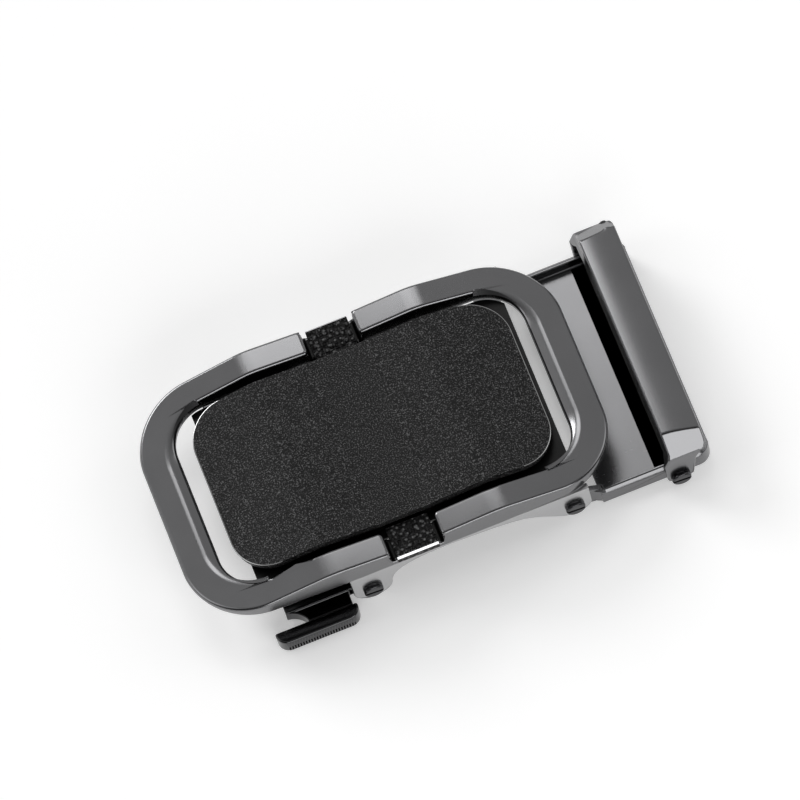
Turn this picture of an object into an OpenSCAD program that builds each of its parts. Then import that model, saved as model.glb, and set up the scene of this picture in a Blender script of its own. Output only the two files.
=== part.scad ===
// Automatic (ratchet) belt buckle for a 35 mm strap, built as an assembly.
// Units mm. +X runs along the belt to the clamp end, +Y across it, +Z out of the face.
// The origin is the bottom centre of the whole buckle's box; the resting plane is z = 0.
//
// Fixed frame:   face ring, carrier, centre plate, side tabs, rivets, axle, hinge screws
// Release lever: turns on the axle; its tooth catches the strap's track from below
// Clamp tray:    hinged to the ring's right-hand lugs
// Clamp loop:    hinged to the tray; its bar holds the strap's cut end down

/* [Face ring] */
// Length of the face ring along the belt
ring_l = 66.5; // [62:0.5:82]
// Width of the face ring across the belt
ring_w = 39.4; // [37.5:0.1:48]
// Outer corner radius of the ring, in plan
ring_r = 10.5; // [8:0.5:11]
// Width of the ring's band on the long sides
band_w = 4.03; // [3.6:0.01:4.5]
// Width of the ring's band at the short ends, measured on the face
band_end_w = 3.95; // [3.5:0.05:4.6]
// Height of the ring's flat underside above the resting plane
ring_bottom = 8.2; // [7.8:0.1:9.5]
// Height of the face at the middle of the buckle
face_mid = 12.2; // [12:0.1:13.6]
// Height of the face at its two ridges
face_ridge = 13.0; // [12.4:0.1:14.4]
// Distance of each ridge from the middle
ridge_x = 13.35; // [12:0.05:16]
// Thickness of the ring at its short ends, from the underside to the face
end_t = 0.79; // [0.6:0.01:1.4]
// Angle by which the long sides draw in beyond the ridges, degrees
draw_in = 1.5; // [0.5:0.1:2.5]

/* [Centre plate] */
// Length of the centre plate
plate_l = 50.4; // [44:0.1:51.5]
// Gap between the plate and the ring along the long sides
plate_gap = 1.37; // [0.8:0.01:1.8]
// Thickness of the centre plate
plate_t = 1.4; // [1.2:0.1:1.8]

/* [Side tabs] */
// Length of each knurled tab along the belt
tab_l = 6.56; // [5:0.02:8]
// Gap between a tab and the side of its notch
tab_gap = 0.77; // [0.4:0.01:1.2]
// Height of the top of a tab
tab_top = 10.7; // [10.5:0.1:11]

/* [Release lever] */
// Position of the lever's axle along the belt, from the ring's middle
axle_x = -8; // [-10:0.5:-7]
// Height of the lever's axle
axle_z = 3.3; // [3.2:0.1:3.6]
// Length of the lever from the axle to the free end of its thumb piece
lever_l = 16; // [13:0.1:19.5]
// How far the thumb piece stands out beyond the ring's side
thumb_out = 3.1; // [2.6:0.1:4.5]

/* [Clamp] */
// Height of the tray's side walls
tray_h = 3.3; // [3:0.1:3.6]
// Distance from the tray's hinge to the loop's pin
tray_span = 16.3; // [15.8:0.1:20]
// Height of the loop's bar top
bar_top = 10.9; // [10.6:0.1:13.1]
// Width of the loop's bar along the belt
bar_w = 5.9; // [5:0.1:7.2]

/* [Hidden] */

$fn = 64;
clear = 0.3;                                // gap between different bodies
run = 0.06;                                 // radial play of a turning fit
eps = 0.01;
half_l = ring_l / 2;
half_w = ring_w / 2;
in_w = half_w - band_w;                     // half width of the ring's opening
bevel_w = 1.7;                              // sloped border at the opening's short ends
in_l = half_l - band_end_w - bevel_w;       // half length of the ring's opening
in_r = 6.3;
valley_x = 4;                               // half length of the face's flat middle
kink_rise = face_ridge - face_mid;
// angle at which the face falls from the ridges to the ends
fall = atan((face_ridge - ring_bottom - end_t) / (half_l - ridge_x));
notch_l = tab_l / 2 + tab_gap;              // half length of a notch
notch_z = ring_bottom + 1.1;                // floor of a notch

rail_out = half_w - 0.1;                    // side rails under the ring
rail_t = 1.0;
rail_in = rail_out - rail_t;
ear_r = 3.0;                                // left ear, round the lever's axle
lug_r = 2.7;                                // right lug, round the tray's hinge
hinge_x = half_l - 9.15;
hinge_z = 4.2;

pin_r = 0.9;                                // shank of every pin and screw
head_r = 1.5;
head_t = 0.75;
slot_w = 0.45;
slot_d = 0.35;

sheet_t = 0.6;                              // carrier: sheet across the opening
sheet_z = ring_bottom + 0.1;
sheet_x0 = -plate_l / 2 + 1.7;              // its left end hides below the plate
sheet_x1 = plate_l / 2 + 0.6;
pad_l = 18;                                 // carrier: raised pad that the plate rests on
pad_top = face_mid - plate_t;
rivet_x = 6;
plate_w = in_w - plate_gap;                 // half width of the centre plate
plate_r = 6.2;
tab_out = half_w + 0.3;
tab_in = plate_w + 0.3;
arm_out = in_w + 1;

rivet_r = 0.7;
rivet_end = face_mid - 0.5;

lever_out = rail_in - clear;                // half width of the lever between the rails
lever_low = 0.9;
lever_top = 3.1;
thumb_x0 = axle_x - lever_l;
thumb_d = 2.2;                              // depth of the thumb piece across the belt
thumb_r = 1.8;                              // its rounded outer corners
thumb_gap = 2.6;                            // the plate stops short of the thumb piece's end
hollow_d = 6.2;                             // hollow curve between the arm and the thumb piece
lever_x0 = thumb_x0 + thumb_gap;            // lever plate, free edge side
lever_x1 = axle_x - 1.6;                    // lever plate, axle side
knuckle_r = 1.5;
knuckle_w = 2.3;
pawl_x = axle_x - 5;
pawl_w = 6;                                 // half width of the pawl
pawl_rivet_r = 0.6;
thumb_x1 = axle_x - ear_r - clear + 0.3;
thumb_y = -half_w - thumb_out;              // outer face of the thumb piece

tray_out = half_w - 0.7;                    // outer half width of the tray
wall_t = 0.9;
tray_in = tray_out - wall_t;
floor_t = 1.2;
tray_x0 = half_l - 5.6;
pin_x = hinge_x + tray_span;                // the loop's pin
pin_z = 1.75;
tray_x1 = pin_x + 5.6;
tray_ear_out = rail_in - clear;
tray_ear_t = 0.8;
tray_ear_r = 2.3;
pocket_x0 = pin_x - 3;
pocket_d = 0.6;
lip_z = 2.1;
tooth_x0 = pin_x - 0.8;
tooth_z = floor_t - pocket_d;

leg_in = tray_out + clear;
leg_t = 0.9;
leg_out = leg_in + leg_t;
bar_x0 = pin_x - 1.0;
bar_x1 = bar_x0 + bar_w;
bar_t = 3.7;
bar_bottom = bar_top - bar_t;
bar_y = half_w - 2.6;                       // half width of the bar's top face
fold_z = 6.0;
grip_t = 0.5;
grip_pin_y = bar_y - 6.8;                   // pins that hold the grip strip under the bar

bar_x_max = max(bar_x1, tray_x1);
org_x = (bar_x_max - half_l) / 2;
org_y = (thumb_y + leg_out + 0.05 + head_t) / 2;

// ---- helpers ---------------------------------------------------------------
module placed() translate([-org_x, -org_y, 0]) children();

module box(x0, x1, y0, y1, z0, z1)
  translate([x0, y0, z0]) cube([x1 - x0, y1 - y0, z1 - z0]);

// a cylinder across the belt, from y0 to y1
module rod(x, z, r, y0, y1)
  translate([x, y0, z]) rotate([-90, 0, 0]) cylinder(r = r, h = y1 - y0);

// an outline drawn in X and Z, extruded across the belt from y0 to y1
module across(y0, y1)
  translate([0, y1, 0]) rotate([90, 0, 0]) linear_extrude(y1 - y0) children();

// an outline drawn in Y and Z, extruded along the belt from x0 to x1
module along(x0, x1)
  translate([x0, 0, 0]) rotate([90, 0, 90]) linear_extrude(x1 - x0) children();

module both_sides() { children(); mirror([0, 1, 0]) children(); }

function face_z(x) = abs(x) < valley_x ? face_mid
  : abs(x) < ridge_x ? face_mid + kink_rise * (abs(x) - valley_x) / (ridge_x - valley_x)
  : face_ridge - tan(fall) * (abs(x) - ridge_x);

// rounded rectangle whose long sides draw in beyond the ridges
module plan(hl, hw, r) {
  cy = (sin(draw_in) * (ridge_x - hl + r) + cos(draw_in) * hw - r) / cos(draw_in);
  tx = hl - r + r * sin(draw_in);
  ty = cy + r * cos(draw_in);
  cx = hl - r;
  polygon([[ridge_x, hw], [tx, ty], [cx, cy], [hl, cy], [hl, -cy], [cx, -cy], [tx, -ty],
    [ridge_x, -hw], [-ridge_x, -hw], [-tx, -ty], [-cx, -cy], [-hl, -cy], [-hl, cy], [-cx, cy],
    [-tx, ty], [-ridge_x, hw]]);
  for (sx = [-1, 1], sy = [-1, 1]) translate([sx * cx, sy * cy]) circle(r);
}

// side view of the faceted face, from depth "low" up to the face itself
module facets(e, low, follow) {
  x = [-e, -ridge_x, -valley_x, valley_x, ridge_x, e];
  polygon(concat([for (v = x) [v, face_z(v)]],
    follow ? [for (i = [5:-1:0]) [x[i], face_z(x[i]) - low]] : [[e, low], [-e, low]]));
}

// a slotted round head on the near side, standing out from y = -out
module slotted_head(x, z, out) difference() {
  rod(x, z, head_r, -out - head_t, -out);
  box(x - head_r - eps, x + head_r + eps, -out - head_t - eps, -out - head_t + slot_d,
    z - slot_w / 2, z + slot_w / 2);
}

// ---- fixed frame -----------------------------------------------------------
// sloped border of the opening at one short end, cut along the falling facet
module end_bevel() {
  reach = (half_l - band_end_w - ridge_x) / cos(fall);
  r1 = in_r + 1.2;
  d = 1.1;
  cy = in_w - r1;
  translate([ridge_x, 0, face_ridge]) rotate([0, fall, 0]) {
    for (s = [-1, 1]) translate([reach - r1, s * cy, -d])
      cylinder(h = d + eps, r1 = r1 - bevel_w, r2 = r1 + eps);
    across(-cy, cy)
      polygon([[reach - r1, eps], [reach + eps, eps], [reach - bevel_w, -d], [reach - r1, -d]]);
  }
}

// side rail below the ring: left ear, arched lower edge, right lug
module rail() {
  span = hinge_x - axle_x;
  arch_z = ring_bottom - 0.4;
  hollow_r = 5.5;
  across(-rail_out, -rail_in) difference() {
    union() {
      translate([axle_x, axle_z]) circle(ear_r);
      translate([axle_x - ear_r, axle_z]) square([2 * ear_r, ring_bottom + 0.4 - axle_z]);
      translate([hinge_x, hinge_z]) circle(lug_r);
      polygon([[axle_x, axle_z + 1], [axle_x + ear_r + hollow_r, axle_z + 1],
        [axle_x + ear_r + hollow_r, arch_z], [axle_x + 0.62 * span, arch_z - 0.65],
        [axle_x + 0.76 * span, arch_z - 1.5], [axle_x + 0.84 * span, arch_z - 3.1],
        [hinge_x - 0.72 * lug_r, hinge_z - 0.69 * lug_r], [hinge_x, hinge_z],
        [hinge_x + lug_r, hinge_z], [hinge_x + lug_r, ring_bottom + 0.4],
        [axle_x, ring_bottom + 0.4]]);
    }
    translate([axle_x + ear_r + hollow_r, arch_z - hollow_r]) circle(hollow_r);
    translate([axle_x + ear_r + hollow_r, arch_z - 2 * hollow_r]) square([2, 2 * hollow_r]);
  }
}

module face_ring() color("dimgray") placed() difference() {
  union() {
    intersection() {
      translate([0, 0, ring_bottom]) linear_extrude(8) difference() {
        plan(half_l, half_w, ring_r);
        plan(in_l, in_w, in_r);
      }
      across(-half_w - 1, half_w + 1) facets(half_l + 1, ring_bottom, false);
    }
    both_sides() rail();
  }
  end_bevel();
  mirror([1, 0, 0]) end_bevel();
  both_sides() box(-notch_l, notch_l, in_w - 1, half_w + 1, notch_z, face_ridge + 1);
  rod(axle_x, axle_z, pin_r, -half_w - 1, half_w + 1);
  rod(hinge_x, hinge_z, pin_r, -half_w - 1, half_w + 1);
}

// the hidden cross piece that carries the centre plate and rests in both notches
module carrier() color("gray") placed() difference() {
  union() {
    box(-pad_l / 2, pad_l / 2, -plate_w + 0.6, plate_w - 0.6, sheet_z, pad_top);
    intersection() {
      translate([0, 0, sheet_z]) linear_extrude(sheet_t)
        plan(in_l - clear, in_w - clear, in_r - clear);
      box(sheet_x0, sheet_x1, -half_w, half_w, 0, face_ridge);
    }
    box(-tab_l / 2 + 0.3, tab_l / 2 - 0.3, -arm_out, arm_out, notch_z, notch_z + sheet_t);
  }
  rivet_places() cylinder(r = rivet_r, h = 30, center = true);
}

module centre_plate() color("#222222") placed() difference() {
  intersection() {
    union() {
      linear_extrude(20) plan(plate_l / 2, plate_w, plate_r);
      box(-valley_x, valley_x, -valley_x, valley_x, 0, 20);
    }
    across(-half_w, half_w) facets(half_l, plate_t, true);
  }
  rivet_places() cylinder(r = rivet_r, h = rivet_end);
}

module rivet_places()
  for (sx = [-1, 1], sy = [-1, 1]) translate([sx * rivet_x, sy * 0.7 * plate_w, 0]) children();

module plate_rivets() color("silver") placed() rivet_places() {
  translate([0, 0, sheet_z - 0.25]) cylinder(r = 1.2, h = 0.25);
  translate([0, 0, sheet_z - 0.1]) cylinder(r = rivet_r, h = rivet_end - sheet_z + 0.1);
}

// knurled tab: a block lapped over the carrier's arm, cross-cut on top
module side_tab() {
  pitch = 0.82;
  cut = 0.3;
  difference() {
    along(-tab_l / 2, tab_l / 2) polygon([[-tab_in, notch_z + sheet_t], [-arm_out, notch_z + sheet_t],
      [-arm_out, notch_z], [-tab_out, notch_z], [-tab_out, tab_top - 0.45],
      [-tab_out + 0.35, tab_top], [-tab_in, tab_top]]);
    for (i = [1:7]) {
      translate([-tab_l / 2 + i * pitch, 0, tab_top]) rotate([0, 45, 0])
        cube([cut, 3 * half_w, cut], center = true);
      translate([0, -tab_in - i * 0.7 + 0.2, tab_top]) rotate([45, 0, 0])
        cube([tab_l + 1, cut, cut], center = true);
    }
  }
}
module side_tab_near() color("#181818") placed() side_tab();
module side_tab_far() color("#181818") placed() mirror([0, 1, 0]) side_tab();

module lever_axle() color("#333333") placed() {
  rod(axle_x, axle_z, pin_r, -rail_out - 0.1, rail_out + 0.1);
  both_sides() slotted_head(axle_x, axle_z, rail_out);
}

module axle_washers() color("silver") placed() both_sides() difference() {
  rod(axle_x, axle_z, 1.35, -rail_in, -rail_in + 0.25);
  rod(axle_x, axle_z, pin_r, -rail_in - 1, -rail_in + 1);
}

module hinge_screws() color("#333333") placed() both_sides() {
  slotted_head(hinge_x, hinge_z, rail_out);
  rod(hinge_x, hinge_z, pin_r, -rail_out - 0.1, -tray_ear_out + tray_ear_t);
}

// ---- release lever ---------------------------------------------------------
module lever_plate() color("#202020") placed() difference() {
  union() {
    box(lever_x0, lever_x1, -lever_out, lever_out, lever_low, lever_top);
    for (c = [-lever_out, -knuckle_w / 2, lever_out - knuckle_w]) {
      rod(axle_x, axle_z, knuckle_r, c, c + knuckle_w);
      box(lever_x1 - eps, axle_x, c, c + knuckle_w, axle_z - knuckle_r, lever_top);
    }
    // arm that comes out under the ring's near side
    box(lever_x0, thumb_x1 - 0.6, thumb_y + thumb_d, -lever_out + eps, lever_low - 0.4,
      lever_top - 0.2);
  }
  rod(axle_x, axle_z, pin_r + run, -half_w, half_w);
  pawl_rivet_places() cylinder(r = pawl_rivet_r, h = 20, center = true);
  // the arm narrows to the thumb piece in a hollow curve
  translate([lever_x0 - 0.2, -lever_out + 0.1 - hollow_d / 2, 0])
    cylinder(d = hollow_d, h = 20, center = true);
}

module pawl_rivet_places()
  for (s = [-1, 1]) translate([pawl_x + 1, s * (pawl_w - 2), 0]) children();

module thumb_piece() color("#202020") placed() {
  y1 = thumb_y + thumb_d;
  r = thumb_r;
  teeth = 20;
  pitch = (thumb_x1 - thumb_x0 - 2 * r) / teeth;
  difference() {
    translate([0, 0, 0.1]) linear_extrude(lever_top) {
      translate([thumb_x0 + r, thumb_y + r]) circle(r);
      translate([thumb_x1 - r, thumb_y + r]) circle(r);
      translate([thumb_x0 + r, thumb_y]) square([thumb_x1 - thumb_x0 - 2 * r, y1 - thumb_y]);
      translate([thumb_x0, thumb_y + r]) square([thumb_x1 - thumb_x0, y1 - thumb_y - r]);
    }
    for (i = [1:teeth - 1]) translate([thumb_x0 + r + i * pitch, thumb_y, 0.2])
      rotate([0, 0, 45]) cube([0.28, 0.28, lever_top + 3], center = true);
    // its inner face lies flat on the arm
    box(thumb_x0 - 1, thumb_x1 + 1, y1, y1 + 2 * r, -1, lever_top + 2);
  }
}

module pawl() color("silver") placed() difference() {
  across(-pawl_w, pawl_w) polygon([[pawl_x - 1.6, lever_top], [pawl_x + 2.2, lever_top],
    [pawl_x + 2.2, lever_top + 0.5], [pawl_x - 0.3, lever_top + 0.5],
    [pawl_x - 1.1, lever_top + 2.4], [pawl_x - 1.6, lever_top + 2.4]]);
  pawl_rivet_places() cylinder(r = pawl_rivet_r, h = 20, center = true);
}

module pawl_rivets() color("silver") placed() pawl_rivet_places() {
  translate([0, 0, lever_low]) cylinder(r = pawl_rivet_r, h = lever_top + 0.6 - lever_low);
  translate([0, 0, lever_top + 0.5]) cylinder(r = 0.95, h = 0.25);
}

// torsion spring round the axle: close coils and two straight legs
module return_spring() color("lightgray") placed() {
  wire = 0.2;
  coil_r = 1.25;
  coils = 5;
  y0 = -13;
  for (i = [0:coils - 1]) translate([axle_x, y0 + i * 2.2 * wire, axle_z]) rotate([90, 0, 0])
    rotate_extrude() translate([coil_r, 0]) circle(wire);
  translate([axle_x - coil_r, y0, axle_z]) rotate([0, -90, 0]) cylinder(r = 0.9 * wire, h = 2);
  translate([axle_x + coil_r, y0 + (coils - 1) * 2.2 * wire, axle_z]) rotate([0, 90, 0])
    cylinder(r = 0.9 * wire, h = 3);
}

// ---- clamp tray ------------------------------------------------------------
module clamp_tray() color("gray") placed() difference() {
  union() {
    linear_extrude(tray_h) difference() {
      tray_plan(0);
      tray_plan(wall_t);
      translate([tray_x0 - 5, -tray_in]) square([5 + wall_t, 2 * tray_in]);
    }
    linear_extrude(floor_t) tray_plan(wall_t / 2);
    both_sides() {
      across(-tray_ear_out, -tray_ear_out + tray_ear_t) {
        translate([hinge_x, hinge_z]) circle(tray_ear_r);
        polygon([[hinge_x + 0.94 * tray_ear_r, hinge_z + 0.34 * tray_ear_r],
          [hinge_x - 0.34 * tray_ear_r, hinge_z - 0.94 * tray_ear_r],
          [tray_x0 + 0.9, 0.4], [tray_x0 + 0.9, tray_h]]);
      }
      // the joggle that takes the ear out to the wall
      linear_extrude(tray_h) polygon([[tray_x0 - 0.1, -tray_ear_out], [tray_x0 + 0.6, -tray_out],
        [tray_x0 + 1.5, -tray_out], [tray_x0 + 1.5, -tray_ear_out + tray_ear_t],
        [tray_x0 - 0.1, -tray_ear_out + tray_ear_t]]);
    }
  }
  // the floor sinks in a pocket under the bar
  box(pocket_x0, tray_x1 - wall_t, -tray_in + 0.4, tray_in - 0.4, floor_t - pocket_d, floor_t + 1);
  // the end wall is only a low lip, so the strap can pass over it
  box(tray_x1 - 2, tray_x1 + 1, -tray_in + 1, tray_in - 1, lip_z, tray_h + 1);
  rod(hinge_x, hinge_z, pin_r + run, -half_w, half_w);
  rod(pin_x, pin_z, pin_r, -half_w, -tray_in - 0.1);
  rod(pin_x, pin_z, pin_r, tray_in + 0.1, half_w);
  tooth_rivet_places() cylinder(r = 0.7, h = 20, center = true);
}

// the tray's outline in plan, with rounded corners at the free end, set in by "inset"
module tray_plan(inset) {
  r = 2.2 - inset;
  x1 = tray_x1 - inset;
  w = tray_out - inset;
  translate([tray_x0, -w]) square([x1 - r - tray_x0, 2 * w]);
  translate([tray_x0, -w + r]) square([x1 - tray_x0, 2 * (w - r)]);
  for (s = [-1, 1]) translate([x1 - r, s * (w - r)]) circle(r);
}

module tooth_rivet_places()
  for (s = [-1, 1]) translate([pin_x + 1.2, s * 0.75 * tray_in, 0]) children();

module tooth_plate() color("silver") placed() difference() {
  union() {
    box(tooth_x0, tooth_x0 + 4, -tray_in + 1, tray_in - 1, tooth_z, tooth_z + 0.8);
    for (i = [0:2]) across(-0.6 * tray_in, 0.6 * tray_in)
      polygon([[tooth_x0 + i * 1.3, tooth_z + 0.7], [tooth_x0 + i * 1.3 + 1.2, tooth_z + 0.7],
        [tooth_x0 + i * 1.3, tooth_z + 1.5]]);
  }
  tooth_rivet_places() cylinder(r = 0.7, h = 20, center = true);
}

module tooth_rivets() color("silver") placed() tooth_rivet_places() {
  cylinder(r = 0.7, h = tooth_z + 0.85);
  translate([0, 0, tooth_z + 0.8]) cylinder(r = 1.1, h = 0.3);
}

module loop_screws() color("#333333") placed() both_sides() {
  slotted_head(pin_x, pin_z, leg_out + 0.05);
  rod(pin_x, pin_z, pin_r, -leg_out - 0.1, -tray_in - 0.1);
}

// ---- clamp loop ------------------------------------------------------------
module clamp_loop() color("dimgray") placed() difference() {
  intersection() {
    along(bar_x0 - 3, bar_x1 + 1) difference() {
      polygon([[bar_y, bar_top], [bar_y + 1.6, bar_top - 1.7], [leg_out, fold_z], [leg_out, -1],
        [-leg_out, -1], [-leg_out, fold_z], [-bar_y - 1.6, bar_top - 1.7], [-bar_y, bar_top]]);
      polygon([[leg_in, -2], [leg_in, fold_z - 0.4], [bar_y + 1, bar_bottom],
        [-bar_y - 1, bar_bottom], [-leg_in, fold_z - 0.4], [-leg_in, -2]]);
    }
    across(-half_w - 3, half_w + 3)
      polygon([[bar_x0, bar_top - 0.25], [bar_x0 + 0.25, bar_top], [bar_x1 - 0.5, bar_top],
        [bar_x1, bar_top - 0.5], [bar_x1, bar_top - 2.1], [pin_x + 3, fold_z],
        [pin_x + 2.2, pin_z - 0.5], [pin_x + 1.1, 0.1], [pin_x - 1.1, 0.1],
        [pin_x - 2, pin_z - 0.5], [pin_x - 2, fold_z], [bar_x0, bar_top - 2.6]]);
  }
  rod(pin_x, pin_z, pin_r + run, -half_w - 3, half_w + 3);
  grip_places() cylinder(r = 0.6, h = bar_bottom + 1.2);
}

module grip_places()
  for (s = [-1, 1]) translate([(bar_x0 + bar_x1) / 2, s * grip_pin_y, 0]) children();

module grip_strip() color("silver") placed() difference() {
  union() {
    box(bar_x0 + 1, bar_x1 - 1, -bar_y + 1, bar_y - 1, bar_bottom - grip_t, bar_bottom);
    for (i = [0:3]) translate([bar_x0 + 1.6 + i * (bar_w - 3.2) / 3, 0, bar_bottom - grip_t])
      rotate([0, 45, 0]) cube([0.5, 2 * (grip_pin_y - 1.2), 0.5], center = true);
  }
  grip_places() cylinder(r = 0.6, h = 30, center = true);
}

module grip_pins() color("silver") placed() grip_places() {
  translate([0, 0, bar_bottom - grip_t - 0.2]) cylinder(r = 0.95, h = 0.2);
  translate([0, 0, bar_bottom - grip_t - 0.1]) cylinder(r = 0.6, h = grip_t + 1.3);
}

face_ring();
carrier();
centre_plate();
side_tab_near();
side_tab_far();
plate_rivets();
lever_axle();
axle_washers();
hinge_screws();
lever_plate();
thumb_piece();
pawl();
pawl_rivets();
return_spring();
clamp_tray();
tooth_plate();
tooth_rivets();
loop_screws();
clamp_loop();
grip_strip();
grip_pins();
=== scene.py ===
import math

import bpy
from mathutils import Matrix, Vector


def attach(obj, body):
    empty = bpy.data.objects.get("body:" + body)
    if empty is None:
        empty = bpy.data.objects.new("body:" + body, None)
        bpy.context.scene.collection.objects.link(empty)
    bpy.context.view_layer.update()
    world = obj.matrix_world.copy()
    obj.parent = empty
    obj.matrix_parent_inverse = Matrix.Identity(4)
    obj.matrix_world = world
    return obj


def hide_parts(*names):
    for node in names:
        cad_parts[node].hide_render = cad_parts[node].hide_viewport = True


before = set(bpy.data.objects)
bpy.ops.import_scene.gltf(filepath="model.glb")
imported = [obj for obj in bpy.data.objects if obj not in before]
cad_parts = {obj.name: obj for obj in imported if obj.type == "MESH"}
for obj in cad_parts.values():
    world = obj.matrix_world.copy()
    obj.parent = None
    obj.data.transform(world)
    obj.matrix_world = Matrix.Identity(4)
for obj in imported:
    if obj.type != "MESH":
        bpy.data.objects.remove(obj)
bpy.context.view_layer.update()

# ---- Face ring ---------------------------------------------------------------------------------
# The frame of the buckle: a die-cast zinc ring, faceted on top, with a notch in each long side and
# a thin side rail below each that carries the hinge ears. Polished, then plated dark gunmetal.

MM = 0.001
RING_X, RING_Y = -6.375, 0.9        # the ring's middle, seen from the shared origin, in mm


def spot(x, y, z):
    return Vector(((x + RING_X) * MM, (y + RING_Y) * MM, z * MM))


def from_ring(v):
    return Vector((v.x / MM - RING_X, v.y / MM - RING_Y, v.z / MM))


def alone(piece):
    if bpy.context.object and bpy.context.object.mode != "OBJECT":
        bpy.ops.object.mode_set(mode="OBJECT")
    bpy.ops.object.select_all(action="DESELECT")
    piece.select_set(True)
    bpy.context.view_layer.objects.active = piece


def block(name, x0, x1, y0, y1, z0, z1):
    bpy.ops.object.select_all(action="DESELECT")
    middle = spot((x0 + x1) / 2, (y0 + y1) / 2, (z0 + z1) / 2)
    bpy.ops.mesh.primitive_cube_add(size=1, location=middle)
    piece = bpy.context.object
    piece.name = piece.data.name = name
    piece.scale = ((x1 - x0) * MM, (y1 - y0) * MM, (z1 - z0) * MM)
    bpy.ops.object.transform_apply(location=True, rotation=True, scale=True)
    return piece


def rod(name, x, y, z, radius, length, along="Y", sides=48):
    turn = {"X": (0, math.pi / 2, 0), "Y": (math.pi / 2, 0, 0), "Z": (0, 0, 0)}[along]
    bpy.ops.object.select_all(action="DESELECT")
    bpy.ops.mesh.primitive_cylinder_add(vertices=sides, radius=radius * MM, depth=length * MM,
                                        location=spot(x, y, z), rotation=turn)
    piece = bpy.context.object
    piece.name = piece.data.name = name
    bpy.ops.object.transform_apply(location=True, rotation=True, scale=True)
    return piece


def pick(piece, kind, test):
    """Selects the points, edges or faces that pass the test, and leaves the piece in edit mode."""
    alone(piece)
    bpy.ops.object.mode_set(mode="EDIT")
    bpy.ops.mesh.select_mode(type=kind)
    bpy.ops.mesh.select_all(action="DESELECT")
    bpy.ops.object.mode_set(mode="OBJECT")
    mesh = piece.data
    if kind == "VERT":
        for v in mesh.vertices:
            v.select = bool(test(from_ring(v.co)))
    elif kind == "EDGE":
        for e in mesh.edges:
            a, b = (from_ring(mesh.vertices[i].co) for i in e.vertices)
            e.select = bool(test((a + b) / 2, (b - a).normalized()))
    else:
        for f in mesh.polygons:
            f.select = bool(test(from_ring(f.center), f.normal))
    bpy.ops.object.mode_set(mode="EDIT")


def everything(piece):
    alone(piece)
    bpy.ops.object.mode_set(mode="EDIT")
    bpy.ops.mesh.select_all(action="SELECT")


def score(piece, point, normal, keep="both"):
    """Cuts right round the piece in a plane; keep drops the side that the normal points to."""
    everything(piece)
    bpy.ops.mesh.bisect(plane_co=point, plane_no=normal, use_fill=keep == "below",
                        clear_outer=keep == "below")
    bpy.ops.object.mode_set(mode="OBJECT")


def round_edges(piece, radius, segments, test, profile=0.5):
    pick(piece, "EDGE", test)
    bpy.ops.mesh.bevel(offset=radius * MM, segments=segments, profile=profile, affect="EDGES",
                       clamp_overlap=False)
    bpy.ops.object.mode_set(mode="OBJECT")


def shift(piece, move, test):
    pick(piece, "VERT", test)
    bpy.ops.transform.translate(value=[m * MM for m in move])
    bpy.ops.object.mode_set(mode="OBJECT")


def widen(piece, factors, centre, test):
    pick(piece, "VERT", test)
    bpy.ops.transform.resize(value=factors, center_override=centre)
    bpy.ops.object.mode_set(mode="OBJECT")


def swing(piece, centre, angle, axis="Y"):
    piece.data.transform(Matrix.Translation(centre) @ Matrix.Rotation(angle, 4, axis)
                         @ Matrix.Translation(-centre))


def to_far_side(piece):
    """Turns a piece made for the near side into its mirror image on the far side."""
    mirror = Matrix.Translation((0, RING_Y * MM * 2, 0)) @ Matrix.Diagonal((1, -1, 1, 1))
    piece.data.transform(mirror)
    piece.data.flip_normals()


def carve(piece, tool, how="DIFFERENCE"):
    cut = piece.modifiers.new("cut", "BOOLEAN")
    cut.operation, cut.object, cut.solver = how, tool, "EXACT"
    alone(piece)
    bpy.ops.object.modifier_apply(modifier="cut")
    bpy.data.objects.remove(tool)


def gather(piece, *others):
    alone(piece)
    for o in others:
        o.select_set(True)
    bpy.ops.object.join()


def soften(piece, width, segments=3, angle=25):
    """Breaks every sharp edge by the given width, as tumbling and polishing do."""
    mod = piece.modifiers.new("edges", "BEVEL")
    mod.width, mod.segments, mod.limit_method = width * MM, segments, "ANGLE"
    mod.angle_limit = math.radians(angle)
    mod.use_clamp_overlap = False
    alone(piece)
    bpy.ops.object.modifier_apply(modifier="edges")


def dress(piece, material, body, *nodes, angle=32):
    """Gives the piece its finish and its place in the assembly."""
    alone(piece)
    bpy.ops.object.mode_set(mode="EDIT")
    bpy.ops.mesh.select_all(action="SELECT")
    bpy.ops.mesh.remove_doubles(threshold=0.0000005)
    bpy.ops.mesh.normals_make_consistent(inside=False)
    bpy.ops.object.mode_set(mode="OBJECT")
    piece.data.materials.clear()
    piece.data.materials.append(material)
    bpy.ops.object.shade_smooth_by_angle(angle=math.radians(angle))
    even = piece.modifiers.new("even", "WEIGHTED_NORMAL")
    even.keep_sharp = True
    bpy.ops.object.modifier_apply(modifier="even")
    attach(piece, body)
    if nodes:
        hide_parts(*nodes)


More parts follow.
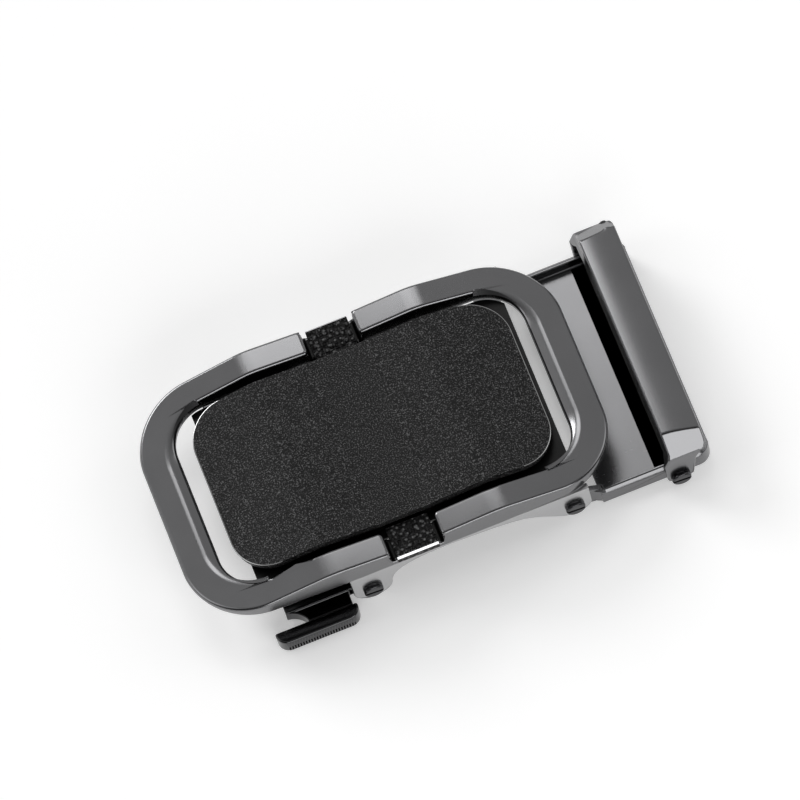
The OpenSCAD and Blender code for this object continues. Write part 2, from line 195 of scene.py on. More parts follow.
def finish_marks():
    """Shared marks of a plated metal surface: hand smudges, fine grain and hairline scratches."""
    g = bpy.data.node_groups.new("finish_marks", "ShaderNodeTree")
    for label in ("Smudge size", "Grain size"):
        s = g.interface.new_socket(label, in_out="INPUT", socket_type="NodeSocketFloat")
        s.default_value = 100.0
    for label in ("Smudge", "Grain", "Scratch"):
        g.interface.new_socket(label, in_out="OUTPUT", socket_type="NodeSocketFloat")
    n, l = g.nodes, g.links
    gin, gout = n.new("NodeGroupInput"), n.new("NodeGroupOutput")
    where = n.new("ShaderNodeTexCoord")
    smudge = n.new("ShaderNodeTexNoise")
    smudge.inputs["Detail"].default_value = 4
    smudge.inputs["Roughness"].default_value = 0.55
    grain = n.new("ShaderNodeTexNoise")
    grain.inputs["Detail"].default_value = 3
    stretch = n.new("ShaderNodeMapping")
    stretch.inputs["Rotation"].default_value = (0.1, 0.05, 0.6)
    stretch.inputs["Scale"].default_value = (250, 9000, 1200)
    hair = n.new("ShaderNodeTexNoise")
    hair.inputs["Scale"].default_value = 1.0
    hair.inputs["Detail"].default_value = 1.0
    sharp = n.new("ShaderNodeMapRange")
    sharp.inputs["From Min"].default_value = 0.63
    sharp.inputs["From Max"].default_value = 0.72
    l.new(where.outputs["Object"], smudge.inputs["Vector"])
    l.new(where.outputs["Object"], grain.inputs["Vector"])
    l.new(where.outputs["Object"], stretch.inputs["Vector"])
    l.new(stretch.outputs["Vector"], hair.inputs["Vector"])
    l.new(gin.outputs["Smudge size"], smudge.inputs["Scale"])
    l.new(gin.outputs["Grain size"], grain.inputs["Scale"])
    l.new(hair.outputs["Fac"], sharp.inputs["Value"])
    l.new(smudge.outputs["Fac"], gout.inputs["Smudge"])
    l.new(grain.outputs["Fac"], gout.inputs["Grain"])
    l.new(sharp.outputs["Result"], gout.inputs["Scratch"])
    return g


marks = finish_marks()


def plated(name, colour, rough, spread=0.05, tint=0.06, grain=0.02, scratch=0.04, metallic=1.0,
           coat=0.0, smudge_size=130, grain_size=2600):
    """A plated or coated metal: colour and gloss drift with smudges, grain and hairlines."""
    m = bpy.data.materials.new(name)
    m.use_nodes = True
    n, l = m.node_tree.nodes, m.node_tree.links
    surface = n["Principled BSDF"]
    surface.inputs["Metallic"].default_value = metallic
    surface.inputs["Coat Weight"].default_value = coat
    surface.inputs["Coat Roughness"].default_value = 0.08
    wear = n.new("ShaderNodeGroup")
    wear.node_tree = marks
    wear.inputs["Smudge size"].default_value = smudge_size
    wear.inputs["Grain size"].default_value = grain_size
    gloss = n.new("ShaderNodeMapRange")
    gloss.inputs["From Min"].default_value = 0.3
    gloss.inputs["From Max"].default_value = 0.7
    gloss.inputs["To Min"].default_value = rough - spread
    gloss.inputs["To Max"].default_value = rough + spread
    add = n.new("ShaderNodeMath")
    add.operation = "MULTIPLY_ADD"
    add.inputs[1].default_value = scratch * 2
    add.use_clamp = True
    drift = n.new("ShaderNodeMix")
    drift.data_type = "RGBA"
    drift.inputs["A"].default_value = (*[c * (1 - tint) for c in colour], 1)
    drift.inputs["B"].default_value = (*[min(1, c * (1 + tint)) for c in colour], 1)
    relief = n.new("ShaderNodeMath")
    relief.operation = "MULTIPLY_ADD"
    relief.inputs[1].default_value = -scratch * 6
    bump = n.new("ShaderNodeBump")
    bump.inputs["Strength"].default_value = grain
    bump.inputs["Distance"].default_value = 0.0001
    l.new(wear.outputs["Smudge"], gloss.inputs["Value"])
    l.new(wear.outputs["Scratch"], add.inputs[0])
    l.new(gloss.outputs["Result"], add.inputs[2])
    l.new(add.outputs["Value"], surface.inputs["Roughness"])
    l.new(wear.outputs["Smudge"], drift.inputs["Factor"])
    l.new(drift.outputs["Result"], surface.inputs["Base Color"])
    l.new(wear.outputs["Scratch"], relief.inputs[0])
    l.new(wear.outputs["Grain"], relief.inputs[2])
    l.new(relief.outputs["Value"], bump.inputs["Height"])
    l.new(bump.outputs["Normal"], surface.inputs["Normal"])
    return m


# sizes of the ring in mm, measured from its middle
FALL = math.radians(11.4)                   # slope of the face beyond its two ridges
RIDGE, RIDGE_Z = 13.35, 13                  # where the ridges are, and how high
FACE_LOW, RISE = 12.2, 0.8                  # the level middle, and the climb from it to a ridge
NOTCH_HALF, NOTCH_FLOOR = 4.05, 9.3         # the notch in each long side
RING_BOTTOM = 8.2
SIDE_FACE = 19.6                            # outer face of the side rails


def rounded_slab(name, half_l, half_w, taper, corner, z0, z1, segments=28):
    """A slab whose long sides draw in by taper beyond the ridges, with round corners."""
    slab = block(name, -half_l, half_l, -half_w, half_w, z0, z1)
    for s in (-1, 1):
        score(slab, spot(s * RIDGE, 0, z0), (1, 0, 0))
    widen(slab, (1, 1 - taper / half_w, 1), spot(0, 0, z0), lambda p: abs(p.x) > half_l - 0.1)
    round_edges(slab, corner, segments,
                lambda p, d: abs(d.z) > 0.9 and abs(p.x) > half_l - 0.1)
    return slab


def facet_cap(name, half_l, half_w, soft):
    """All that is above the face: level in the middle, up to the ridges, down to the ends."""
    cap = block(name, -half_l, half_l, -half_w, half_w, FACE_LOW, 17)
    for x in (-RIDGE, -4, 4, RIDGE):
        score(cap, spot(x, 0, 12), (1, 0, 0))
    shift(cap, (0, 0, RISE), lambda p: abs(abs(p.x) - RIDGE) < 0.1 and p.z < 12.3)
    shift(cap, (0, 0, RISE - math.tan(FALL) * (half_l - RIDGE)),
          lambda p: abs(p.x) > half_l - 0.1 and p.z < 12.3)
    round_edges(cap, soft, 6,
                lambda p, d: abs(d.y) > 0.9 and abs(abs(p.x) - RIDGE) < 0.1 and p.z < 14)
    return cap


def opening_border(side):
    """The sloped border at one short end of the opening, lying in the falling facet."""
    top_l, top_w, foot_l, foot_w, foot_z = 17.2, 16.35, 14.57, 13.72, 11.9
    t = block("border", RIDGE + 6, RIDGE + top_l, -top_w, top_w, foot_z, 13.6)
    round_edges(t, 8.3, 26, lambda p, d: abs(d.z) > 0.9 and p.x > RIDGE + 17)
    widen(t, (foot_l / top_l, foot_w / top_w, 1), spot(RIDGE, 0, foot_z), lambda p: p.z < 12)
    swing(t, spot(RIDGE, 0, RIDGE_Z), FALL)
    if side < 0:
        swing(t, spot(0, 0, 0), math.pi, "Z")
    return t


def side_rail(side):
    """One rail: a left ear, a thin arched strip under the ring, a right lug."""
    ear, lug, low = 3.0, 2.7, 0.3
    rail = block("rail", -8 - ear, -8 + ear, -SIDE_FACE, -18.6, low, 8.4)
    x, z = -8 + ear, low
    # the lower edge of the rail, as points (x, z) from the ear to the lug
    edge = [(-4.8, 3.9), (-4.4, 4.9), (-3.8, 5.7), (-2.9, 6.4), (-1.8, 6.9), (-0.4, 7.3),
            (1.4, 7.6), (4.5, 7.75), (8.5, 7.5), (12, 7.2), (14.5, 6.8), (16.4, 6.25),
            (17.8, 5.5), (19.2, 4.5), (20.8, 3.1), (21.9, 2.15), (22.9, 1.6), (24.1, 1.5),
            (24.1 + lug, 1.5)]
    for nx, nz in edge:
        pick(rail, "FACE", lambda p, d: d.x > 0.9 and abs(p.x - x) < 0.02)
        bpy.ops.mesh.extrude_region_move(
            TRANSFORM_OT_translate={"value": ((nx - x) * MM, 0, 0)})
        bpy.ops.object.mode_set(mode="OBJECT")
        shift(rail, (0, 0, nz - z), lambda p: abs(p.x - nx) < 0.01 and p.z < 8)
        x, z = nx, nz
    round_edges(rail, ear - 0.05, 14,
                lambda p, d: abs(d.y) > 0.9 and p.z < low + 0.1 and p.x < -4.9)
    round_edges(rail, lug - 0.1, 14, lambda p, d: abs(d.y) > 0.9 and p.z < 1.6 and p.x > 26.7)
    if side > 0:
        to_far_side(rail)
    soften(rail, 0.16, 2, 40)
    return rail


ring = rounded_slab("ring", 33.25, 19.7, 0.52, 10.5, RING_BOTTOM, 16, 36)
carve(ring, rounded_slab("opening", 27.6, 15.67, 0.37, 6.3, 7, 17, 26))
carve(ring, facet_cap("cap", 34, 21, 1.6))
for side in (-1, 1):
    carve(ring, opening_border(side))
    y0, y1 = sorted((side * 14.6, side * 21))
    carve(ring, block("notch", -NOTCH_HALF, NOTCH_HALF, y0, y1, NOTCH_FLOOR, 17))
round_edges(ring, 0.75, 6,
            lambda p, d: abs(d.z) > 0.9 and abs(abs(p.x) - NOTCH_HALF) < 0.05 and p.z > 9.4)
soften(ring, 0.5, 5, 22)
rails = side_rail(-1)
gather(rails, side_rail(1))
gunmetal = plated("dark_gunmetal_plating", (0.205, 0.205, 0.21), 0.22, spread=0.015, tint=0.03,
                  grain=0.003, scratch=0.003)
# the rails carry the ring's plating painted lighter: painted light, standing in for the bright
# reflection on their side faces
rail_gunmetal_painted_light = plated("gunmetal_with_painted_light", (0.52, 0.52, 0.525), 0.24, spread=0.02,
                         tint=0.03, grain=0.008, scratch=0.01)
dress(ring, gunmetal, "frame", "face_ring")
# near black: the carrier's blackened finish, and painted shade on the ring's notch floor and walls
blackened_and_notch_shade = plated("blackened_steel_and_notch_shade", (0.02, 0.02, 0.02), 0.4, grain=0.05)
ring.data.materials.append(blackened_and_notch_shade)
# the notch floor and its end walls take this black as painted shade, in place of the shadow deep
# in the notch
for f in ring.data.polygons:
    c, away = from_ring(f.center), f.normal
    in_notch = abs(c.x) < 4.1 and c.z < 9.9 and abs(c.y) < 19.2
    if in_notch and (away.z > 0.3 or abs(away.x) > 0.3):
        f.material_index = 1
dress(rails, rail_gunmetal_painted_light, "frame")

# ---- Centre plate ------------------------------------------------------------------------------
# The panel inside the ring: pressed steel bent to the ring's facets, sprayed with a sand-textured
# black coating; its bevelled rim gets a light metal colour, a painted highlight along the edge.
# Four rivets hold it below.

plate = rounded_slab("plate", 25.4, 14.3, 0.32, 6.2, 10.8, FACE_LOW, 26)
for x in (-4, 4):
    score(plate, spot(x, 0, 11), (1, 0, 0))
shift(plate, (0, 0, RISE), lambda p: abs(p.x) > RIDGE - 0.1)
for side in (-1, 1):
    fold = spot(side * RIDGE, 0, RIDGE_Z)
    turned = [v for v in plate.data.vertices if from_ring(v.co).x * side > RIDGE + 0.1]
    bend = (Matrix.Translation(fold) @ Matrix.Rotation(side * FALL, 4, "Y")
            @ Matrix.Translation(-fold))
    for v in turned:
        v.co = bend @ v.co
round_edges(plate, 1.2, 5,
            lambda p, d: abs(d.y) > 0.9 and abs(abs(p.x) - RIDGE) < 0.1 and p.z > 12.5)
soften(plate, 0.18, 2, 35)


def sand_coat(name, base, fleck_and_highlight, size, depth, pebbles=False):
    """Matt sprayed coating full of grit, or with pebbles a leathery cross-cut grip whose pebble
    crowns are painted light and gaps dark (painted highlight and shade).
    """
    m = bpy.data.materials.new(name)
    m.use_nodes = True
    n, l = m.node_tree.nodes, m.node_tree.links
    surface = n["Principled BSDF"]
    surface.inputs["Specular IOR Level"].default_value = 0.22
    where = n.new("ShaderNodeTexCoord")
    grit = n.new("ShaderNodeTexNoise")
    grit.inputs["Scale"].default_value = size
    grit.inputs["Detail"].default_value = 1.5
    grit.inputs["Roughness"].default_value = 0.55
    cells = n.new("ShaderNodeTexVoronoi")
    cells.feature = "SMOOTH_F1"
    cells.inputs["Scale"].default_value = size
    cells.inputs["Smoothness"].default_value = 0.35
    cloud = n.new("ShaderNodeTexNoise")
    cloud.inputs["Scale"].default_value = size / 16
    cloud.inputs["Detail"].default_value = 3.0
    grain_and_pebble_highlight = n.new("ShaderNodeMapRange")
    grain_and_pebble_highlight.inputs["From Min"].default_value = 0.42 if pebbles else 0.52
    grain_and_pebble_highlight.inputs["From Max"].default_value = 0.1 if pebbles else 0.74
    colour = n.new("ShaderNodeMix")
    colour.data_type = "RGBA"
    colour.inputs["A"].default_value = (*base, 1)
    colour.inputs["B"].default_value = (*fleck_and_highlight, 1)
    gloss = n.new("ShaderNodeMapRange")
    gloss.inputs["From Min"].default_value = 0.35
    gloss.inputs["From Max"].default_value = 0.65
    gloss.inputs["To Min"].default_value = 0.55
    gloss.inputs["To Max"].default_value = 0.42
    bump = n.new("ShaderNodeBump")
    bump.invert = pebbles
    bump.inputs["Strength"].default_value = 1.0
    bump.inputs["Distance"].default_value = depth
    l.new(where.outputs["Object"], grit.inputs["Vector"])
    l.new(where.outputs["Object"], cells.inputs["Vector"])
    l.new(where.outputs["Object"], cloud.inputs["Vector"])
    # with pebbles the colour follows the distance from each cell's middle: light crowns and dark
    # gaps, a painted highlight and painted shade; without, random grit flecks
    pattern = cells.outputs["Distance"] if pebbles else grit.outputs["Fac"]
    l.new(pattern, grain_and_pebble_highlight.inputs["Value"])
    l.new(grain_and_pebble_highlight.outputs["Result"], colour.inputs["Factor"])
    l.new(colour.outputs["Result"], surface.inputs["Base Color"])
    l.new(cloud.outputs["Fac"], gloss.inputs["Value"])
    l.new(gloss.outputs["Result"], surface.inputs["Roughness"])
    l.new(pattern, bump.inputs["Height"])
    l.new(bump.outputs["Normal"], surface.inputs["Normal"])
    return m


coating = sand_coat("sand_textured_black", (0.003, 0.003, 0.0031), (0.16, 0.16, 0.162), 5000,
                    0.00018)
dress(plate, coating, "frame", "centre_plate")
plate.data.materials.append(plated("painted_highlight_rim", (0.42, 0.42, 0.42), 0.22))
# the bevel faces all round take the light metal colour: a painted highlight line along the edge
for f in plate.data.polygons:
    if 0.3 < f.normal.z < 0.9 and abs(abs(from_ring(f.center).x) - RIDGE) > 1.4:
        f.material_index = 1

# ---- Side tabs ---------------------------------------------------------------------------------
# Two black grips that fill the notches: steel blocks with a pebbled cross-cut top, lapped over the
# carrier's arms and held between them and the ring. The pebble crowns are painted light and the
# gaps dark, a painted highlight and painted shade; the outer top bevel gets a light metal colour,
# a painted highlight line.


def grip_tab(side):
    half, rows, ranks = 3.28, 8, 6
    tab = block("side_tab", -half, half, -20.0, -14.7, NOTCH_FLOOR, 10.7)
    round_edges(tab, 0.28, 1, lambda p, d: abs(d.x) > 0.9 and p.z > 10.6 and p.y < -19.9)
    for i in range(1, rows):
        score(tab, spot(-half + i * 6.56 / rows, 0, 10), (1, 0, 0))
    for i in range(1, ranks):
        score(tab, spot(0, -SIDE_FACE + i * 4.9 / ranks, 10), (0, 1, 0))
    # the cut grooves leave rows of low pads, each with a worn crown
    pick(tab, "FACE", lambda p, d: d.z > 0.9)
    bpy.ops.mesh.inset(thickness=0.00007, depth=0.0, use_individual=True)
    bpy.ops.mesh.inset(thickness=0.0001, depth=-0.00012, use_individual=True)
    bpy.ops.mesh.inset(thickness=0.0001, depth=0.00014, use_individual=True)
    bpy.ops.object.mode_set(mode="OBJECT")
    soften(tab, 0.05, 2, 60)
    if side > 0:
        to_far_side(tab)
    return tab


# the grip's pebble crowns are painted light and the gaps between them dark: painted highlight and
# painted shade
grip_black = sand_coat("grip_black", (0.003, 0.003, 0.0031), (0.17, 0.17, 0.172), 1500, 0.0004,
                       pebbles=True)
edge_highlight_paint = plated("painted_edge_highlight", (0.5, 0.5, 0.51), 0.15, spread=0.03)
for side, node in ((-1, "side_tab_near"), (1, "side_tab_far")):
    tab = grip_tab(side)
    dress(tab, grip_black, "frame", node, angle=40)
    tab.data.materials.append(edge_highlight_paint)
    # the outer top bevel takes a light metal colour: a painted highlight line
    for f in tab.data.polygons:
        if f.normal.y * side > 0.4 and f.normal.z > 0.4 and from_ring(f.center).y * side > 19.5:
            f.material_index = 1

# ---- Carrier and its rivets --------------------------------------------------------------------
# The hidden sheet that joins the centre plate to the ring: a blackened steel pressing whose arms
# rest in both notches, with four rivets up into the plate. Seen only from below.


def edge_worn(node, material, width=0.0):
    """Keeps the pressed part's shape, breaks its edges a little and gives it its finish."""
    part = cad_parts[node]
    part.data.materials.clear()
    part.data.materials.append(material)
    if width:
        join = part.modifiers.new("join", "WELD")
        join.merge_threshold = 0.000002
        edge = part.modifiers.new("edge", "BEVEL")
        edge.width, edge.segments, edge.limit_method = width * MM, 2, "ANGLE"
        edge.angle_limit = math.radians(40)


pressed_steel = plated("pressed_steel", (0.3, 0.3, 0.305), 0.38, spread=0.08, grain=0.06,
                       scratch=0.08)
rivet_steel = plated("rivet_steel", (0.5, 0.5, 0.5), 0.3, spread=0.06, grain=0.04)
edge_worn("carrier", blackened_and_notch_shade, 0.12)
edge_worn("plate_rivets", rivet_steel, 0.12)

# ---- Axle, hinge screws and loop screws --------------------------------------------------------
# Blackened steel: a full-width axle under the left ears and short slotted screws at the tray's
# hinge and the loop's pin. All have the same 3 mm slotted head, domed a little.


def slotted_head(x, z, face, side, slot_angle):
    """A screw head standing on the given face, its slot turned as the driver left it."""
    radius, thick, slot_half = 1.5, 0.75, 0.24
    head = rod("head", x, -face - thick / 2, z, radius, thick, "Y", 56)
    round_edges(head, 0.26, 4, lambda p, d: p.y < -face - 0.7 and abs(d.y) < 0.1)
    slot = block("slot", x - 2, x + 2, -face - 1.2, -face - 0.38, z - slot_half, z + slot_half)
    swing(slot, spot(x, 0, z), slot_angle)
    carve(head, slot)
    soften(head, 0.05, 2, 30)
    if side > 0:
        to_far_side(head)
    return head


black_steel = plated("blackened_steel", (0.07, 0.07, 0.073), 0.2, spread=0.06, grain=0.03,
                     scratch=0.08)
AXLE_X, AXLE_Z = -8, 3.3                    # the three turning axes, all along Y
TRAY_PIN_X, TRAY_PIN_Z = 24.1, 4.2
LOOP_PIN_X, LOOP_PIN_Z = 40.4, 1.75
for name, node, body, x, z, face, inner in (
        ("axle", "lever_axle", "frame", AXLE_X, AXLE_Z, SIDE_FACE, 0),
        ("tray_hinge_screws", "hinge_screws", "frame", TRAY_PIN_X, TRAY_PIN_Z, SIDE_FACE, 17.5),
        ("loop_pin_screws", "loop_screws", "clamp_tray", LOOP_PIN_X, LOOP_PIN_Z, 20.25, 18.2)):
    first = slotted_head(x, z, face, -1, 0.1)
    second = slotted_head(x, z, face, 1, -0.5)
    shanks = []
    for side in (-1, 1):
        y0, y1 = sorted((side * inner, side * (face + 0.3)))
        shanks.append(rod("shank", x, (y0 + y1) / 2, z, 0.9, y1 - y0, "Y", 40))
    gather(first, second, *shanks)
    first.name = name
    dress(first, black_steel, body, node)

edge_worn("axle_washers", rivet_steel)

# ---- Release lever -----------------------------------------------------------------------------
# A gloss black plated steel plate across the buckle, rolled into three knuckles round the axle,
# with an arm that comes out under the near side and ends in a ribbed thumb piece.

PIN_HOLE = 0.96                             # radius of every bore that turns on a pin
lever_end, lever_half, knuckle_long = -21.4, 18.3, 2.3
lever = block("release_plate", lever_end, -9.6, -lever_half, lever_half, 0.9, 3.1)
for y0 in (-lever_half, -1.15, 16.0):
    knuckle = rod("knuckle", AXLE_X, y0 + 1.15, AXLE_Z, 1.5, knuckle_long, "Y", 48)
    carve(lever, knuckle, "UNION")
    carve(lever, block("web", -9.8, AXLE_X, y0, y0 + knuckle_long, 1.8, 3.1), "UNION")
carve(lever, block("arm", lever_end, -11.6, -20.6, -18.0, 0.5, 2.9), "UNION")
carve(lever, rod("hollow", -21.6, -21.3, 2, 3.1, 8, "Z", 72))
carve(lever, rod("bore", AXLE_X, 0, AXLE_Z, PIN_HOLE, 44, "Y", 40))
for s in (-1, 1):
    carve(lever, rod("rivet_hole", -12, s * 4, 2, 0.6, 8, "Z", 32))
soften(lever, 0.18, 3, 30)
gloss_black = plated("gloss_black_plating", (0.075, 0.075, 0.077), 0.13, spread=0.03, grain=0.01,
                     scratch=0.01)
dress(lever, gloss_black, "release_lever", "lever_plate")

thumb = block("thumb_grip", -24.0, -11.0, -22.8, -20.6, 0.12, 3.15)
round_edges(thumb, 1.8, 14, lambda p, d: abs(d.z) > 0.9 and p.y < -22)
soften(thumb, 0.3, 4, 30)
rib = block("rib", -22.7, -22.48, -23.0, -22.5, 0.3, 2.85)
row = rib.modifiers.new("row", "ARRAY")
row.use_relative_offset, row.use_constant_offset = False, True
rib_pitch, ribs = 0.43, 25
row.constant_offset_displace = (rib_pitch * MM, 0, 0)
row.count = ribs
alone(rib)
bpy.ops.object.modifier_apply(modifier="row")
carve(thumb, rib)
dress(thumb, gloss_black, "release_lever", "thumb_piece")

# ---- Pawl, its rivets and the return spring ----------------------------------------------------
# A hardened strip with one upturned edge, riveted on the lever, that catches the strap's track.
# A wire spring coiled on the axle pushes the lever back up.

edge_worn("pawl", rivet_steel, 0.08)
edge_worn("pawl_rivets", rivet_steel, 0.08)

bpy.ops.object.select_all(action="DESELECT")
wire, coil_radius, pitch, turns = 0.2, 1.25, 0.43, 4
bpy.ops.mesh.primitive_circle_add(vertices=14, radius=wire * MM, fill_type="NOTHING",
                                  location=(coil_radius * MM, 0, 0), rotation=(math.pi / 2, 0, 0))
spring = bpy.context.object
spring.name = spring.data.name = "wire_spring"
bpy.ops.object.transform_apply(location=True, rotation=True, scale=True)
coil = spring.modifiers.new("coil", "SCREW")
coil.axis, coil.angle, coil.screw_offset = "Z", math.tau, pitch * MM
coil.iterations, coil.steps, coil.render_steps = turns, 36, 36
coil.use_merge_vertices = False
bpy.ops.object.modifier_apply(modifier="coil")
# cap the two cut ends of the wire
pick(spring, "VERT", lambda p: False)
bpy.ops.mesh.select_non_manifold()
bpy.ops.mesh.edge_face_add()
bpy.ops.object.mode_set(mode="OBJECT")
spring.data.transform(Matrix.Translation(spot(AXLE_X, -13, AXLE_Z))
                      @ Matrix.Rotation(-math.pi / 2, 4, "X"))
leg_radius = 0.18
legs = [rod("leg", AXLE_X - 2.2, -13, AXLE_Z, leg_radius, 2.0, "X", 14),
        rod("leg", AXLE_X + 2.6, -11.3, AXLE_Z, leg_radius, 2.8, "X", 14)]
gather(spring, *legs)
spring_wire = plated("spring_wire", (0.5, 0.5, 0.51), 0.25, spread=0.05, grain=0.03)
dress(spring, spring_wire, "release_lever", "return_spring", angle=50)

# ---- Clamp tray --------------------------------------------------------------------------------
# A pressed channel, floor and two side walls, polished and plated a lighter gunmetal. Ears at its
# left end hang it on the ring's lugs; the far end has round corners and a low lip.

tray_half, tray_deep = 19, 3.3
tray = block("tray_channel", 28.4, 46, -tray_half, tray_half, 0, tray_deep)
round_edges(tray, 2.2, 16, lambda p, d: abs(d.z) > 0.9 and p.x > 45.9)
round_edges(tray, 0.5, 1, lambda p, d: abs(d.x) > 0.9 and abs(p.y) > 18.9 and p.z > 3.2)
hollow = block("hollow", 20, 45.1, -18.1, 18.1, 1.2, 6)
round_edges(hollow, 1.3, 14, lambda p, d: abs(d.z) > 0.9 and p.x > 45)
carve(tray, hollow)
carve(tray, block("pocket", 37.4, 45.1, -17.7, 17.7, 0.6, 2))
carve(tray, block("way", 44, 47, -17.1, 17.1, 2.1, 6))
for s in (-1, 1):
    cheek = block("cheek", 21.9, 28.6, -18.3, -17.5, 0.4, 6.4)
    score(cheek, spot(26.3, 0, 5.0), (0.55, 0, 0.83), "below")
    score(cheek, spot(22.6, 0, 2.4), (-0.62, 0, -0.78), "below")
    round_edges(cheek, 1.2, 6, lambda p, d: abs(d.y) > 0.9 and p.x < 25.2 and p.z > 3)
    joggle = block("joggle", 27.55, 29.1, -tray_half, -17.5, 0, tray_deep)
    shift(joggle, (0, 0.7, 0), lambda p: p.x < 27.6 and p.y < -18.9)
    shift(joggle, (0.5, 0, 0), lambda p: p.x < 27.6 and p.y > -18)
    for o in (cheek, joggle):
        if s > 0:
            to_far_side(o)
        carve(tray, o, "UNION")
    carve(tray, rod("pin_hole", LOOP_PIN_X, s * 18.9, LOOP_PIN_Z, 0.9, 1.4, "Y", 40))
    carve(tray, rod("rivet_hole", 41.6, s * 13.575, 0.5, 0.7, 4, "Z", 32))
carve(tray, rod("hinge_bore", TRAY_PIN_X, 0, TRAY_PIN_Z, PIN_HOLE, 44, "Y", 40))
soften(tray, 0.14, 2, 30)
tray_plating = plated("brushed_gunmetal_plating", (0.2, 0.2, 0.205), 0.26, spread=0.02, tint=0.03,
                      grain=0.004, scratch=0.003)
dress(tray, tray_plating, "clamp_tray", "clamp_tray")

edge_worn("tooth_plate", pressed_steel, 0.06)
edge_worn("tooth_rivets", rivet_steel, 0.08)

# ---- Clamp loop --------------------------------------------------------------------------------
# A bar across the tray on two flared legs, one casting, polished and plated like the ring. Its
# top is slightly crowned, its ends are cut at 45 degrees, and the legs turn on the loop screws.

bar_left, bar_right, bar_wide, bar_cuts = 39.4, 45.3, 5.9, 12
left, right, z = bar_left, bar_right, 8.8
loop = block("clamp_bar", left, right, -20.2, 20.2, z, 10.9)
# the profile below the bar, downwards: left side, right side, height
for nl, nr, nz in ((39.4, 45.2, 8.3), (38.4, 43.4, 6.0), (38.4, 42.6, 1.25), (39.3, 41.5, 0.1)):
    pick(loop, "FACE", lambda p, d: d.z < -0.9 and abs(p.z - z) < 0.02)
    bpy.ops.mesh.extrude_region_move(TRANSFORM_OT_translate={"value": (0, 0, (nz - z) * MM)})
    bpy.ops.object.mode_set(mode="OBJECT")
    shift(loop, (nl - left, 0, 0), lambda p: abs(p.z - nz) < 0.01 and abs(p.x - left) < 0.01)
    shift(loop, (nr - right, 0, 0), lambda p: abs(p.z - nz) < 0.01 and abs(p.x - right) < 0.01)
    left, right, z = nl, nr, nz
# the top is crowned: level at its left edge, rolling down towards the right
for i in range(1, bar_cuts):
    score(loop, spot(bar_left + i * bar_wide / bar_cuts, 0, 10), (1, 0, 0))
for i in range(bar_cuts + 1):
    x = bar_left + i * bar_wide / bar_cuts
    t = (x - bar_left) / bar_wide
    crown = -0.05 * t - 1.15 * t ** 2 + 0.43 * t ** 3
    shift(loop, (0, 0, crown), lambda p: p.z > 10.8 and abs(p.x - x) < 0.02)
for s in (-1, 1):
    score(loop, spot(0, s * 17.1, 10.9), (0, s * 1.7, 1.6), "below")
    score(loop, spot(0, s * 18.7, 9.2), (0, s * 3.2, 1.5), "below")
mouth = block("mouth", 30, 50, -19.3, 19.3, -2, 7.2)
for s in (-1, 1):
    score(mouth, spot(0, s * 18.1, 7.2), (0, s * 1.6, 1.2), "below")
carve(loop, mouth)
carve(loop, rod("pin_bore", LOOP_PIN_X, 0, LOOP_PIN_Z, PIN_HOLE, 44, "Y", 40))
for s in (-1, 1):
    carve(loop, rod("pin_hole", 42.35, s * 10.26, 6, 0.6, 4.8, "Z", 32))
soften(loop, 0.3, 4, 24)
dress(loop, gunmetal, "clamp_loop", "clamp_loop")

edge_worn("grip_strip", pressed_steel, 0.06)
edge_worn("grip_pins", rivet_steel, 0.06)

# ---- Floor, light and camera -------------------------------------------------------------------
# A plain white table, a soft lamp over the far side, a wide strip in front, a weak lamp at each
# end, a low broad key, and a long lens.

bpy.ops.object.select_all(action="DESELECT")
bpy.ops.mesh.primitive_plane_add(size=3, location=(0, 0, -0.0001))
table = bpy.context.object
table.name = "table_top"
white = bpy.data.materials.new("white_table")
white.use_nodes = True
n, l = white.node_tree.nodes, white.node_tree.links
paper = n.new("ShaderNodeTexNoise")
paper.inputs["Scale"].default_value = 40
tone = n.new("ShaderNodeMapRange")
tone.inputs["To Min"].default_value = 0.88
tone.inputs["To Max"].default_value = 0.9
where = n.new("ShaderNodeTexCoord")
l.new(where.outputs["Object"], paper.inputs["Vector"])
l.new(paper.outputs["Fac"], tone.inputs["Value"])
l.new(tone.outputs["Result"], n["Principled BSDF"].inputs["Base Color"])
n["Principled BSDF"].inputs["Roughness"].default_value = 0.9
n["Principled BSDF"].inputs["Specular IOR Level"].default_value = 0.1
n["Principled BSDF"].inputs["Emission Color"].default_value = (1, 1, 1, 1)
n["Principled BSDF"].inputs["Emission Strength"].default_value = 0.3
table.data.materials.append(white)


def softbox(name, aim, reach, width, height, brightness):
    """A soft square lamp seen from the buckle along aim, of even brightness."""
    lamp = bpy.data.lights.new(name, "AREA")
    lamp.shape, lamp.size, lamp.size_y = "RECTANGLE", width, height
    lamp.energy = brightness * math.pi * width * height
    o = bpy.data.objects.new(name, lamp)
    bpy.context.scene.collection.objects.link(o)
    o.location = Vector(aim).normalized() * reach
    o.rotation_euler = Vector(aim).to_track_quat("Z", "Y").to_euler()
    return o


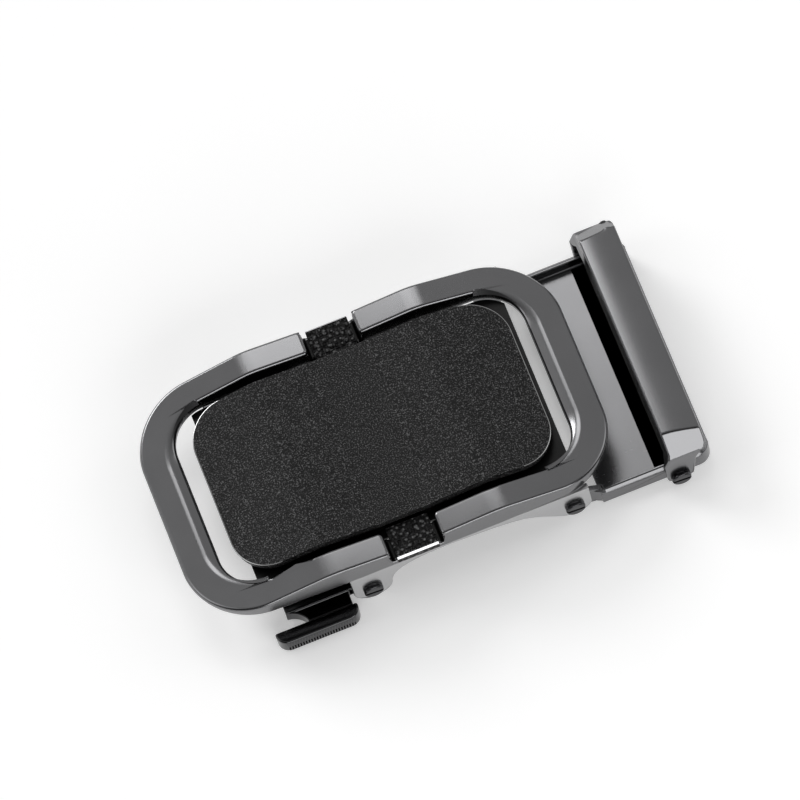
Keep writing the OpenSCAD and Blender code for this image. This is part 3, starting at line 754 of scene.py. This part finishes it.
softbox("overhead", (0.05, 0.55, 0.833), 0.55, 0.23, 0.18, 2.6)
softbox("front_strip", (0.1, -0.87, 0.46), 0.8, 0.9, 0.42, 2.6)
softbox("left_side", (-0.8, 0.12, 0.58), 0.8, 0.34, 0.5, 1.0)
softbox("right_side", (0.84, 0.05, 0.54), 0.8, 0.34, 0.5, 1.0)

key = bpy.data.lights.new("key", "SUN")
key.energy, key.angle = 1.1, math.radians(25)
sun = bpy.data.objects.new("key", key)
bpy.context.scene.collection.objects.link(sun)
sun.rotation_euler = Vector((-0.45, 0.75, 0.48)).to_track_quat("Z", "Y").to_euler()

# the room is dim grey, darkest behind the camera
sky = bpy.data.worlds.new("studio")
sky.use_nodes = True
n, l = sky.node_tree.nodes, sky.node_tree.links
n["Background"].inputs["Color"].default_value = (1, 1, 1, 1)
where = n.new("ShaderNodeTexCoord")
facing = n.new("ShaderNodeSeparateXYZ")
shade = n.new("ShaderNodeMapRange")
shade.inputs["From Min"].default_value = -0.35
shade.inputs["From Max"].default_value = 0.2
shade.inputs["To Min"].default_value = 0.06
shade.inputs["To Max"].default_value = 0.46
l.new(where.outputs["Generated"], facing.inputs["Vector"])
l.new(facing.outputs["Y"], shade.inputs["Value"])
l.new(shade.outputs["Result"], n["Background"].inputs["Strength"])
bpy.context.scene.world = sky

# the lens looks down steeply from the near side, rolled so that the buckle lies aslant
toward = Vector((-0.033, -0.42, 0.907)).normalized()
along = (Vector((1, 0, 0)) - toward * toward.x).normalized()
across = toward.cross(along)
roll = math.radians(21.5)
right = along * math.cos(roll) - across * math.sin(roll)
up = along * math.sin(roll) + across * math.cos(roll)
off_right, off_up, reach = 4.42, 4.716, 1.4738      # mm, mm, and metres from lens to buckle
seen = spot(0, 0, 12.3) + (right * off_right + up * off_up) * MM
lens = bpy.data.cameras.new("long_lens")
lens.lens, lens.sensor_width, lens.clip_end = 450, 36, 10
camera = bpy.data.objects.new("camera", lens)
bpy.context.scene.collection.objects.link(camera)
camera.matrix_world = (Matrix.Translation(seen + toward * reach)
                       @ Matrix((right, up, toward)).transposed().to_4x4())
bpy.context.scene.camera = camera
bpy.context.scene.view_settings.view_transform = "Standard"
